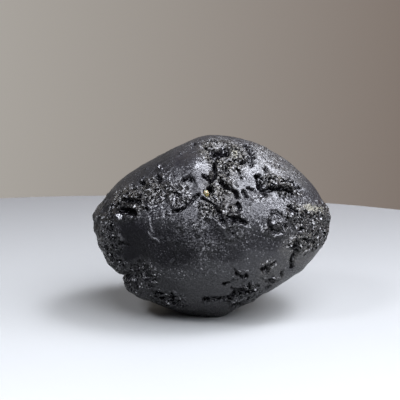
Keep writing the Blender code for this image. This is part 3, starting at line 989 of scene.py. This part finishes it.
@dataclass(frozen=True)
class Tektite:
    """The stone: its driving sizes in millimetres and degrees, its surface and its finish."""

    finish: TektiteGlass
    node: str = "tektite"
    cuts: int = 128
    side_spare: float = 0.3  # how far the fine stone may pass the solid's box at its two tips
    crowding: float = 0.42  # how strongly the grid is drawn towards the front, from 0 to 1
    heart_height: float = 16.2

    # The plain form: its radius on four sides at each latitude, and how gradually one side becomes the next.
    latitudes: Row = (-90, -60, -35, -15, 0, 15, 35, 60, 90)
    right: Row = (18.0, 15.0, 16.6, 19.6, 21.3, 20.5, 18.4, 17.2, 16.5)
    left: Row = (18.0, 18.1, 19.5, 20.4, 21.3, 19.9, 17.4, 15.6, 16.5)
    front: Row = (18.0, 16.9, 16.7, 17.4, 17.8, 17.6, 16.7, 16.1, 16.5)
    back: Row = (18.0, 16.4, 16.5, 17.3, 17.9, 17.3, 16.3, 15.9, 16.5)
    turn_share: float = 0.55
    swell_cell: float = 9.0
    front_swell: float = 0.35
    far_swell: float = 0.9

    # The front drawing: where it is seen from, where it ends, and how its marks waver.
    view_distance: float = VIEW_DISTANCE_MM
    view_tilt: float = VIEW_TILT
    edge: Pair = (-0.08, 0.12)  # how much the skin faces the viewer where the drawing starts, and is whole
    hidden_edge: Pair = (0.1, 0.3)  # the far holes keep this clear of the outline seen from the front
    wobbles: tuple[Pair, ...] = ((1.6, 0.22), (0.75, 0.16))  # cell and reach
    ragged: float = 0.28  # how much the hollows' breadth varies
    ragged_cell: float = 1.0
    uneven: float = 0.18  # how much the hollows' depth varies
    uneven_cell: float = 1.4
    steepness: float = 1.25
    fine_steepness: float = 1.6
    lip_width: float = 0.32
    lip_height: float = 0.15
    crater: Pair = (11.9, 0.1)
    crater_radius: float = 1.6
    crater_wall: float = 0.55
    crater_depth: float = 0.6
    chip_rise: float = 0.15  # how far a chip's flat stands out of the ground around it
    chip_steepness: float = 2.5
    chip_polish: float = 0.92
    polish_height: float = 0.25  # how high a bead stands that is worn to a polish

    # Etched ground: burst bubbles and crumbs, and where they lie.
    bowl: float = 0.6  # the power of a burst bubble's profile
    dimple: float = 2.0  # the power of a soft dimple's
    etch_cells: Row = (2.8, 1.7, 1.0)
    etch_depths: Row = (0.4, 0.7, 1.0)  # of each bubble's own depth
    etch_rise: float = 0.3
    crumble_cell: float = 0.9
    crumble_reach: float = 0.3
    crumbs: tuple[Pair, ...] = ((2.4, 0.3), (1.1, 0.16), (0.6, 0.07))  # cell and height
    edge_cell: float = 1.9
    fine_edge_cell: float = 0.9
    fine_edge: float = 0.6
    front_etched: tuple[float, float, float] = (0.1, 1.4, 0.9)  # start, and rates by patch and by edge noise
    far_etched: tuple[float, float, float] = (0.05, 2.2, 0.5)  # start, and rates by noise and by edge noise
    far_etched_cell: float = 7.0
    wall_etched: float = 0.5  # how etched the hollows' walls are at least
    hollow_wall: Rise = Rise(0.0, -2.0)  # by the hollow's height

    # How deep, dusty, frosted and gritty the skin is.
    deep_hollow: Rise = Rise(-0.25, -1.6)  # by the hollow's height
    deep_pit: Rise = Rise(-0.2, -2.0)  # by the etching's height
    deepest_pit: float = 0.8  # how deep the bottom of a pit counts
    dusting: float = 0.28  # how much of the etched skin is dusty
    upward: Rise = Rise(0.7, 1.2)  # by how much the place lies on top
    standing: Rise = Rise(1.0, 1.5)  # by the etching's height
    far_frost: float = 0.6
    grit: float = 0.65
    far_grit: Pair = (0.4, 0.3)  # in the middle, and how far it strays
    far_grit_cell: float = 9.0
    deep_unetched: float = 0.6  # the shares that deep ground loses of its etching, soil and grit
    deep_unsoiled: float = 0.9
    deep_ungritted: float = 0.8
    frost_undusted: float = 0.8
    polish_unetched: float = 0.8  # the shares that a polished bead loses of its etching, frost and grit
    polish_unfrosted: float = 0.8
    polish_ungritted: float = 0.9

    # The hidden sides' dimples, holes and worm-like gullies.
    bubble_cells: Row = (6.5, 3.4)
    bubble_depth: float = 0.32
    hole_cell: float = 4.6
    hole_depth: float = 0.8  # of each hole's own radius
    worm_cell: float = 6.0
    worm_width: float = 0.1  # of the noise's own height
    worm_steepness: float = 1.4
    worm_depth: float = 0.8
    dimpled: Islands = Islands(11.0, Seed.DIMPLED, Rise(1.5, 2.0))
    holed: Islands = Islands(7.0, Seed.HOLED, Rise(0.6, 2.0))
    wormed: Islands = Islands(5.0, Seed.WORMED, Rise(0.0, 2.5))
    frosted: Islands = Islands(10.0, Seed.FROSTED, Rise(0.0, 1.5))

    def plain_radii(self, directions: Array) -> Array:
        """The plain form: 1/r is the hypotenuse of cos/sideways and sin/lengthways of the bearing.

        Args:
            directions: unit vectors from the heart.

        Returns:
            The radius along each, in millimetres.
        """
        latitude = np.degrees(np.arcsin(np.clip(directions[:, 2], -1.0, 1.0)))
        bearing = np.arctan2(directions[:, 1], directions[:, 0])
        across, along = np.cos(bearing), np.sin(bearing)
        rightness = smooth_step(0.5 + 0.5 * across / self.turn_share)
        backness = smooth_step(0.5 + 0.5 * along / self.turn_share)
        right, left, front, back = (
            smooth_curve(latitude, self.latitudes, radii)
            for radii in (self.right, self.left, self.front, self.back)
        )
        sideways = left + rightness * (right - left)
        lengthways = front + backness * (back - front)
        return 1.0 / np.hypot(across / sideways, along / lengthways)

    def drawing_places(self, points: Array) -> tuple[Array, Array, Array]:
        """Where each point falls on the front drawing, seen in perspective from the viewer's height.

        Args:
            points: points in millimetres from the heart.

        Returns:
            The places, and how much each point lies on the front and on the hidden side, from 0 to 1.
        """
        tilt = math.radians(self.view_tilt)
        forward = np.array((0.0, math.cos(tilt), -math.sin(tilt)))
        upward = np.array((0.0, math.sin(tilt), math.cos(tilt)))
        scale = self.view_distance / (self.view_distance + points @ forward)
        places = np.stack((points[:, 0] * scale, (points @ upward) * scale), axis=1)
        facing = -(points @ forward) / np.linalg.norm(points, axis=1)
        front = smooth_step((facing - self.edge[0]) / (self.edge[1] - self.edge[0]))
        low, high = self.hidden_edge
        return places, front, smooth_step((-facing - low) / (high - low))

    def raised(self, places: Array, marks: tuple[Mark, ...]) -> Array:
        """The sum of the marks' heights, each a smooth bell across its route.

        Args:
            places: places on the front drawing.
            marks: the marks to add up.

        Returns:
            The height at each place, in millimetres.
        """
        total = np.zeros(len(places))
        for mark in marks:
            total += mark.lift * smooth_step(1.0 - route_distance(places, mark.route) / mark.reach)
        return total

    def strongest(self, places: Array, patches: tuple[Patch, ...]) -> Array:
        """The strongest of the patches at each place."""
        return np.max([patch.strength * patch.cover(places) for patch in patches], axis=0)

    def sunk(self, places: Array, marks: tuple[Mark, ...], breadth: Array, steepness: float) -> Array:
        """The deepest of the marks at each place: a trough with a flat floor, and a thin lip outside it.

        Args:
            places: places on the front drawing.
            marks: the hollows.
            breadth: how broad the hollows are at each place, where 1 is as their reach says.
            steepness: how steep their walls are.

        Returns:
            The height at each place, in millimetres.
        """
        floors, lips = np.zeros(len(places)), np.zeros(len(places))
        for mark in marks:
            away = route_distance(places, mark.route) - mark.reach * breadth
            floors = np.minimum(floors, mark.lift * smooth_step(-steepness * away / mark.reach))
            from_lip = np.abs(away - self.lip_width / 2) / self.lip_width
            lips = np.maximum(lips, self.lip_height * smooth_step(1.0 - from_lip))
        return floors + lips * smooth_step(1.0 + floors / self.lip_height)

    def edge_noise(self, plain: Array) -> Array:
        """How the edges of the etched ground waver: a noise and a finer one."""
        coarse = soft_noise(plain, self.edge_cell, Seed.EDGE)
        return coarse + self.fine_edge * soft_noise(plain, self.fine_edge_cell, Seed.FINE_EDGE)

    def etching(self, plain: Array, share: Array) -> Array:
        """Burst bubbles of several sizes on crumbly ground, whose depth follows how etched the skin is.

        Args:
            plain: the plain form's points.
            share: how etched the skin is at each, from 0 to 1.

        Returns:
            The height at each point, in millimetres.
        """
        relief = np.zeros(len(plain))
        touched = share > 0
        ground, how = plain[touched], share[touched]
        bent = ground + self.crumble_reach * shake(ground, self.crumble_cell, Seed.BENDS, 3)
        for order, (cell, depth) in enumerate(zip(self.etch_cells, self.etch_depths)):
            relief[touched] -= depth * how * bubble_pits(bent, cell, Seed.BUBBLES + order, self.bowl)
        for order, (cell, height) in enumerate(self.crumbs):
            relief[touched] += height * how * soft_noise(bent, cell, Seed.CRUMBS + order)
        return relief + self.etch_rise * share

    def skin(self, plain: Array, etched: Array, hollows: Array) -> tuple[Array, dict[str, Array]]:
        """The etching's relief, and the skin's shares that follow from it.

        Args:
            plain: the plain form's points.
            etched: how etched the skin is at each, from 0 to 1.
            hollows: the height of the larger hollows there, 0 or less.

        Returns:
            The relief, and how etched, deep and dusty each point is.
        """
        deep = self.deep_hollow.over(hollows)
        walls = self.wall_etched * self.hollow_wall.over(hollows)
        etched = less(np.maximum(etched, walls), self.deep_unetched, deep)
        relief = self.etching(plain, etched)
        upward = self.upward.over(plain[:, 2] / np.linalg.norm(plain, axis=1))
        dust = self.dusting * upward * etched * self.standing.over(relief)
        deep = np.maximum(deep, self.deepest_pit * self.deep_pit.over(relief))
        return relief, {"etched": etched, "deep": deep, "soil": dust}

    def front_relief(self, places: Array, plain: Array) -> tuple[Array, dict[str, Array]]:
        """The relief that is drawn on the front: hollows, beads, grain, swells and etched ground.

        Args:
            places: places on the front drawing.
            plain: the plain form's points at those places.

        Returns:
            The height at each point, in millimetres, and the skin's shares by name.
        """
        breadth = 1.0 + self.ragged * soft_noise(plain, self.ragged_cell, Seed.RAGGED)
        from_ring = np.abs(np.linalg.norm(places - self.crater, axis=1) - self.crater_radius)
        ring = -self.crater_depth * smooth_step(1.0 - from_ring / (self.crater_wall * breadth))
        hollows = np.minimum(self.sunk(places, HOLLOWS, breadth, self.steepness), ring)
        hollows = np.minimum(hollows, self.sunk(places, FINE_HOLLOWS, breadth, self.fine_steepness))
        hollows *= 1.0 + self.uneven * soft_noise(plain, self.uneven_cell, Seed.UNEVEN)
        grain = sum(
            patch.strength * patch.cover(places) * soft_noise(plain, patch.cell, Seed.GRAIN + order)
            for order, patch in enumerate(GRAINY)
        )
        beads = self.raised(places, FINE_RIDGES)
        polish = smooth_step(beads / self.polish_height)

        pitted = self.strongest(places, PITTED)
        start, by_patch, by_edge = self.front_etched
        etched = pitted * smooth_step(start + by_patch * pitted + by_edge * self.edge_noise(plain))
        etched = less(etched, self.polish_unetched, polish) * (1.0 - self.strongest(places, BARE))
        relief, skin = self.skin(plain, etched, hollows)
        # The frosted ovals also carry painted shade, which the material turns into lost shine.
        frost = self.strongest(places, FROST_AND_SHADE)
        dust = less(skin["soil"], self.frost_undusted, frost) + self.strongest(places, SOIL_SPOTS)
        # Painted shade: deep ground keeps no dust, so the hollows stay black.
        skin["soil"] = less(dust, self.deep_unsoiled, skin["deep"])
        skin["frost"] = less(frost * (1.0 - skin["etched"]), self.polish_unfrosted, polish)
        grit = np.clip(self.grit + sum(patch.strength * patch.cover(places) for patch in GRIT), 0.0, 1.0)
        grit = less(grit, self.deep_ungritted, skin["deep"])
        skin["grit"] = less(grit, self.polish_ungritted, polish)
        return relief + self.raised(places, SWELLS) + beads + hollows + grain, skin

    def far_relief(self, plain: Array, hidden: Array) -> tuple[Array, dict[str, Array]]:
        """The hidden sides' relief: dimples, holes, worm-like gullies and etched ground.

        Args:
            plain: the plain form's points.
            hidden: how much each lies on the hidden side, where holes are kept to.

        Returns:
            The height at each point, in millimetres, and the skin's shares by name.
        """
        dimples, depth = np.zeros(len(plain)), self.dimpled.over(plain) * self.bubble_depth
        for order, cell in enumerate(self.bubble_cells):
            dimples -= depth * bubble_pits(plain, cell, Seed.DIMPLES + order, self.dimple)
        bent = plain + self.crumble_reach * shake(plain, self.crumble_cell, Seed.FAR_BENDS, 3)
        holes = self.hole_depth * bubble_pits(bent, self.hole_cell, Seed.HOLES, self.bowl)
        holes *= self.holed.over(plain)
        from_worm = np.abs(soft_noise(bent, self.worm_cell, Seed.WORMS)) / self.worm_width
        worms = smooth_step(self.worm_steepness * (1.0 - from_worm))
        worms *= self.worm_depth * self.wormed.over(plain)
        hollows = -hidden * np.maximum(holes, worms)

        start, by_noise, by_edge = self.far_etched
        islands = soft_noise(plain, self.far_etched_cell, Seed.FAR_ETCHED)
        etched = smooth_step(start + by_noise * islands + by_edge * self.edge_noise(plain))
        relief, skin = self.skin(plain, etched, hollows)
        skin["frost"] = self.far_frost * self.frosted.over(plain) * (1.0 - skin["etched"])
        middle, stray = self.far_grit
        grit = middle + stray * soft_noise(plain, self.far_grit_cell, Seed.FAR_GRIT)
        skin["grit"] = less(grit, self.deep_ungritted, skin["deep"])
        return relief + dimples + hollows, skin

    def surface(self, directions: Array) -> tuple[Array, dict[str, Array]]:
        """The stone's surface: each direction times its plain radius and relief, with the chips cut flat.

        Args:
            directions: unit vectors from the heart.

        Returns:
            The points in millimetres from the heart, and the skin's shares by name.
        """
        plain = directions * self.plain_radii(directions)[:, None]
        places, front, hidden = self.drawing_places(plain)
        for cell, reach in self.wobbles:
            places = places + reach * shake(plain, cell, Seed.WOBBLE, 2)
        swell = self.far_swell + front * (self.front_swell - self.far_swell)
        relief = swell * soft_noise(plain, self.swell_cell, Seed.SWELL)
        near, near_skin = self.front_relief(places, plain)
        far, far_skin = self.far_relief(plain, hidden)
        relief += front * near + (1.0 - front) * far
        skin = {share: front * near_skin[share] + (1.0 - front) * far_skin[share] for share in near_skin}
        points = plain + directions * relief[:, None]
        for chip in CHIPS:
            away = np.where(front > 0, np.linalg.norm(places - chip.middle, axis=1), np.inf)
            cut = away < chip.reach
            facing = looking(chip.bearing, chip.height)
            cover = smooth_step(self.chip_steepness * (1.0 - away[cut] / chip.reach))
            level = points[np.argmin(away)] @ facing + self.chip_rise
            reaches = level / (directions[cut] @ facing)
            points[cut] += cover[:, None] * (directions[cut] * reaches[:, None] - points[cut])
            for share in skin.values():
                share[cut] *= 1.0 - self.chip_polish * cover
        return points, skin

    def build(self) -> bpy.types.Object:
        """The fine stone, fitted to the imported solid's box and dressed."""
        directions, faces = cube_sphere(self.cuts)
        directions = directions + self.crowding * np.array((0.0, -1.0, 0.0))
        directions /= np.linalg.norm(directions, axis=1, keepdims=True)
        points, skin = self.surface(directions)
        points[:, 2] = np.maximum(points[:, 2], -self.heart_height)
        low, high = (np.array(corner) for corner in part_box(self.node))
        own_low, own_high = points.min(axis=0), points.max(axis=0)
        fitted = low + (points - own_low) * (high - low) / (own_high - own_low)
        spare = self.side_spare * MM
        fitted[:, 0] = np.clip(points[:, 0] * MM, low[0] - spare, high[0] + spare)
        stone = mesh_object("tektite_glass", fitted, faces, skin)
        stone.data.materials.append(self.finish.build())
        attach(stone, "root")
        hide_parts(self.node)
        return stone


@dataclass(frozen=True)
class SandGrain:
    """The sand grain wedged in its pit under the rib."""

    finish: QuartzSand
    node: str = "lodged_sand_grain"
    cuts: int = 24
    swell: float = 1.2  # the solid stands clear of the glass, and the real grain touches it
    drop: tuple[float, float, float] = (0.1, 0.0, -0.6)  # from the pit's edge, where the solid is, into it
    sink: float = 0.25  # how far towards the pit's floor the grain sits from the solid, in millimetres
    facet_depth: float = 0.16
    facet_cell: float = 0.75
    facet_start: float = 4.0  # where in the noise the grain's dents are read
    facet_seed: int = 31

    def build(self) -> bpy.types.Object:
        """A worn, faintly faceted grain: a ball that noise dents, fitted to the solid's box."""
        directions, faces = cube_sphere(self.cuts)
        dents = np.abs(soft_noise(directions + self.facet_start, self.facet_cell, self.facet_seed))
        points = directions * (1.0 - self.facet_depth * dents)[:, None]
        low, high = (np.array(corner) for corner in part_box(self.node))
        middle, half = (low + high) / 2, (high - low) / 2
        inward = -middle / np.linalg.norm(middle)
        middle = middle + (np.array(self.drop) + self.sink * inward) * MM
        points = middle + points * half * self.swell
        grain = mesh_object("sand_grain", points, faces, {})
        grain.data.materials.append(self.finish.build())
        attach(grain, "root")
        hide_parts(self.node)
        return grain


# ---------------------------------------------------------------------------------------------------------
# The studio


@dataclass(frozen=True)
class SoftLight:
    """A soft box: a rectangular light that faces the stone."""

    name: str
    bearing: float  # degrees from +X, anticlockwise seen from above
    height: float  # degrees over the table
    distance: float
    width: float
    depth: float
    radiance: float
    colour: str = "#f2f5ff"

    def build(self, target: Array) -> bpy.types.Object:
        """The light, turned towards the target, with a power of pi * area * radiance.

        Args:
            target: the place that it faces, in metres.

        Returns:
            The light's object.
        """
        away = looking(self.bearing, self.height)
        data = bpy.data.lights.new(self.name, "AREA")
        data.shape = "RECTANGLE"
        data.size, data.size_y = self.width, self.depth
        data.energy = math.pi * self.width * self.depth * self.radiance
        data.color = linear(self.colour)[:3]
        light = into_scene(self.name, data)
        light.location = target + away * self.distance
        light.rotation_mode = "QUATERNION"
        light.rotation_quaternion = Vector(away).to_track_quat("Z", "Y")
        return light


@dataclass(frozen=True)
class Studio:
    """The pale table, the wall far behind it, the lights and the camera. Sizes are in metres."""

    heart: tuple[float, float, float]
    lens: float = 85.5
    sensor: float = 36.0
    frame_pixels: int = 400
    heart_pixel: Pair = (211.9, 224.2)
    view_distance: float = VIEW_DISTANCE_MM * MM
    view_tilt: float = VIEW_TILT
    clip: Pair = (0.01, 10.0)
    table_middle: Pair = (-0.0256, -0.025)
    table_radius: float = 0.15
    table_corners: int = 180
    thickness: float = 0.02
    wall_distance: float = 0.9
    wall_half: float = 1.6
    ambient: str = "#5c5e62"
    ambient_strength: float = 1.0
    # The table is painted lighter near and darker far, as painted shade, and its strip in front, out of
    # view, fades to the unlit colour as a painted shadow.
    table_paint: StudioPaint = StudioPaint(
        "white_laminate_table", "#737473", "#4e4e4e", Axis.Y, (-0.07, 0.13), 0.5, fade_m=(-0.11, -0.045)
    )
    # The wall glows as painted light, lighter on the left and darker on the right.
    wall_paint: StudioPaint = StudioPaint(
        "taupe_studio_wall", "#a39e97", "#6b5c51", Axis.X, (-0.25, 0.32), 0.9, glows=True
    )
    lights: tuple[SoftLight, ...] = (
        SoftLight("key_box", -39.0, 54.0, 0.50, 0.72, 0.52, 19.0),
        SoftLight("hot_lamp", -8.0, 63.0, 0.50, 0.16, 0.12, 60.0),
        SoftLight("left_lamp", -140.0, 46.0, 0.50, 0.10, 0.10, 90.0),
    )

    def staged(self, name: str, points: Array, faces: Any, paint: StudioPaint) -> None:
        """Puts one painted, flat-shaded piece of the studio in place.

        Args:
            name: the piece's name.
            points: its vertices in metres.
            faces: its faces, which turn outwards.
            paint: its finish.
        """
        piece = mesh_object(name, points, faces, {})
        piece.data.shade_flat()
        piece.data.materials.append(paint.build())

    def build_stage(self) -> None:
        """The round table, whose top is the plane that the stone rests on, and the wall."""
        turns = np.arange(self.table_corners) * 2 * math.pi / self.table_corners
        ring = np.stack((np.cos(turns), np.sin(turns)), axis=1) * self.table_radius + self.table_middle
        levels = [np.column_stack((ring, np.full(len(ring), z))) for z in (-self.thickness, 0.0)]
        below = np.arange(self.table_corners)
        above, after = below + self.table_corners, np.roll(below, -1)
        sides = np.stack((below, after, after + self.table_corners, above), axis=1)
        faces = [below[::-1].tolist(), above.tolist(), *sides.tolist()]
        self.staged("table", np.concatenate(levels), faces, self.table_paint)

        corners = np.array([(x, y, z) for x in (-1, 1) for y in (0, 1) for z in (-1, 1)], float)
        points = corners * (self.wall_half, self.thickness, self.wall_half) + (0.0, self.wall_distance, 0.0)
        ends = (0, 1, 3, 2), (4, 6, 7, 5)
        faces = np.array((*ends, (0, 4, 5, 1), (2, 3, 7, 6), (0, 2, 6, 4), (1, 5, 7, 3)))
        self.staged("wall", points, faces, self.wall_paint)

    def build_lights(self) -> None:
        """A broad key and a small hot lamp high on the right, a small left lamp, and dim room light."""
        for light in self.lights:
            light.build(np.array(self.heart))
        world = bpy.data.worlds.new("dim_room")
        world.use_nodes = True
        background = world.node_tree.nodes["Background"]
        background.inputs["Color"].default_value = linear(self.ambient)
        background.inputs["Strength"].default_value = self.ambient_strength
        bpy.context.scene.world = world
        bpy.context.scene.view_settings.view_transform = "Standard"

    def build_camera(self) -> bpy.types.Object:
        """The camera, level from side to side, turned so that the heart falls on its pixel."""
        focal = self.lens / self.sensor * self.frame_pixels
        right = math.atan((self.heart_pixel[0] - self.frame_pixels / 2) / focal)
        below = math.atan((self.heart_pixel[1] - self.frame_pixels / 2) / focal)
        tilt = math.radians(self.view_tilt)
        heart = np.array(self.heart)
        data = bpy.data.cameras.new("front_camera")
        data.lens, data.sensor_width = self.lens, self.sensor
        data.clip_start, data.clip_end = self.clip
        camera = into_scene("front_camera", data)
        camera.location = heart + self.view_distance * np.array((0.0, -math.cos(tilt), math.sin(tilt)))
        camera.rotation_euler = (math.pi / 2 - (tilt - below), 0.0, right)
        bpy.context.scene.camera = camera
        return camera


def main() -> None:
    """Builds the stone, the grain and the studio, in that order."""
    logging.basicConfig(level=logging.INFO, format="%(name)s: %(message)s")
    stone_form = Tektite(TektiteGlass())
    for form in (stone_form, SandGrain(QuartzSand())):
        piece = form.build()
        log.info("%s stands for %s, with %d faces", piece.name, form.node, len(piece.data.polygons))
    studio = Studio((0.0, 0.0, stone_form.heart_height * MM))
    studio.build_stage()
    studio.build_lights()
    camera = studio.build_camera()
    log.info("camera %s looks from %.0f mm away", camera.name, studio.view_distance / MM)


if __name__ == "__main__":
    main()
